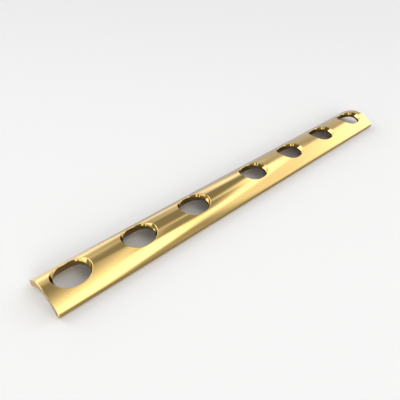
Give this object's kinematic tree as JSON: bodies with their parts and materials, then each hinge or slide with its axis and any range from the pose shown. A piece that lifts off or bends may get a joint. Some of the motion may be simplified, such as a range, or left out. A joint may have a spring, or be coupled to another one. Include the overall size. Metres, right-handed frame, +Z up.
{
  "type": "orthopedic bone plate",
  "caption": "Slim arched strip of tube wall with slotted, ball-seated screw holes in two rows, which screws press onto a broken bone.",
  "frame": {"origin": "middle of the plate's length and width, at the level of the two long edges it rests on", "axes": "+X along the plate from the row of three holes to the row of four, +Y across it, +Z up through the crest of its arch, away from the bone"},
  "size_m": [0.0852, 0.0086, 0.0029],
  "materials": {
    "gold_metal": "polished, gold-coloured"
  },
  "bodies": {
    "root": {"bone_plate": "gold_metal"}
  },
  "joints": []
}
